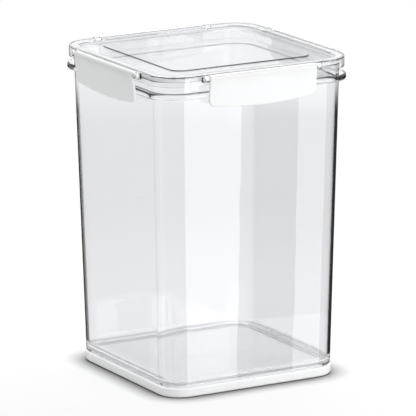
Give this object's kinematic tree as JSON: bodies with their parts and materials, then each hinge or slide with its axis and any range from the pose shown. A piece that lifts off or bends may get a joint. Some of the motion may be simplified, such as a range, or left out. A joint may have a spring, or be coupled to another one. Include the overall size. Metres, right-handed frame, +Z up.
{
  "type": "food canister",
  "caption": "Tall square airtight food canister: clear tapered container on a white foot, and a clear sealed lid held down by hinged white latches.",
  "frame": {"origin": "centre of the foot's underside, on the surface that the canister stands on", "axes": "+Z up through the lid; -Y is the front side; the four sides are alike"},
  "size_m": [0.1844, 0.1844, 0.2573],
  "materials": {
    "clear_plastic": "clear, polished",
    "white_plastic": "satin white",
    "silicone": "milky translucent"
  },
  "bodies": {
    "container": {"container_shell": "clear_plastic", "base_foot": "white_plastic"},
    "lid": {"lid_shell": "clear_plastic", "lid_seal": "silicone", "hinge_rod_front": "white_plastic", "hinge_rod_right": "white_plastic", "hinge_rod_back": "white_plastic", "hinge_rod_left": "white_plastic"},
    "front_latch": {"latch_front": "white_plastic"},
    "right_latch": {"latch_right": "white_plastic"},
    "back_latch": {"latch_back": "white_plastic"},
    "left_latch": {"latch_left": "white_plastic"}
  },
  "joints": [
    {"name": "lid_lift", "type": "slide", "parent": "container", "child": "lid", "axis": [0, 0, 1], "range_m": [0, 0.12]},
    {"name": "front_latch_hinge", "type": "hinge", "parent": "lid", "child": "front_latch", "pos_m": [0, -0.0893, 0.2544], "axis": [-1, 0, 0], "range_deg": [0, 180]},
    {"name": "right_latch_hinge", "type": "hinge", "parent": "lid", "child": "right_latch", "pos_m": [0.0893, 0, 0.2544], "axis": [0, -1, 0], "range_deg": [0, 180]},
    {"name": "back_latch_hinge", "type": "hinge", "parent": "lid", "child": "back_latch", "pos_m": [0, 0.0893, 0.2544], "axis": [1, 0, 0], "range_deg": [0, 180]},
    {"name": "left_latch_hinge", "type": "hinge", "parent": "lid", "child": "left_latch", "pos_m": [-0.0893, 0, 0.2544], "axis": [0, 1, 0], "range_deg": [0, 180]}
  ]
}
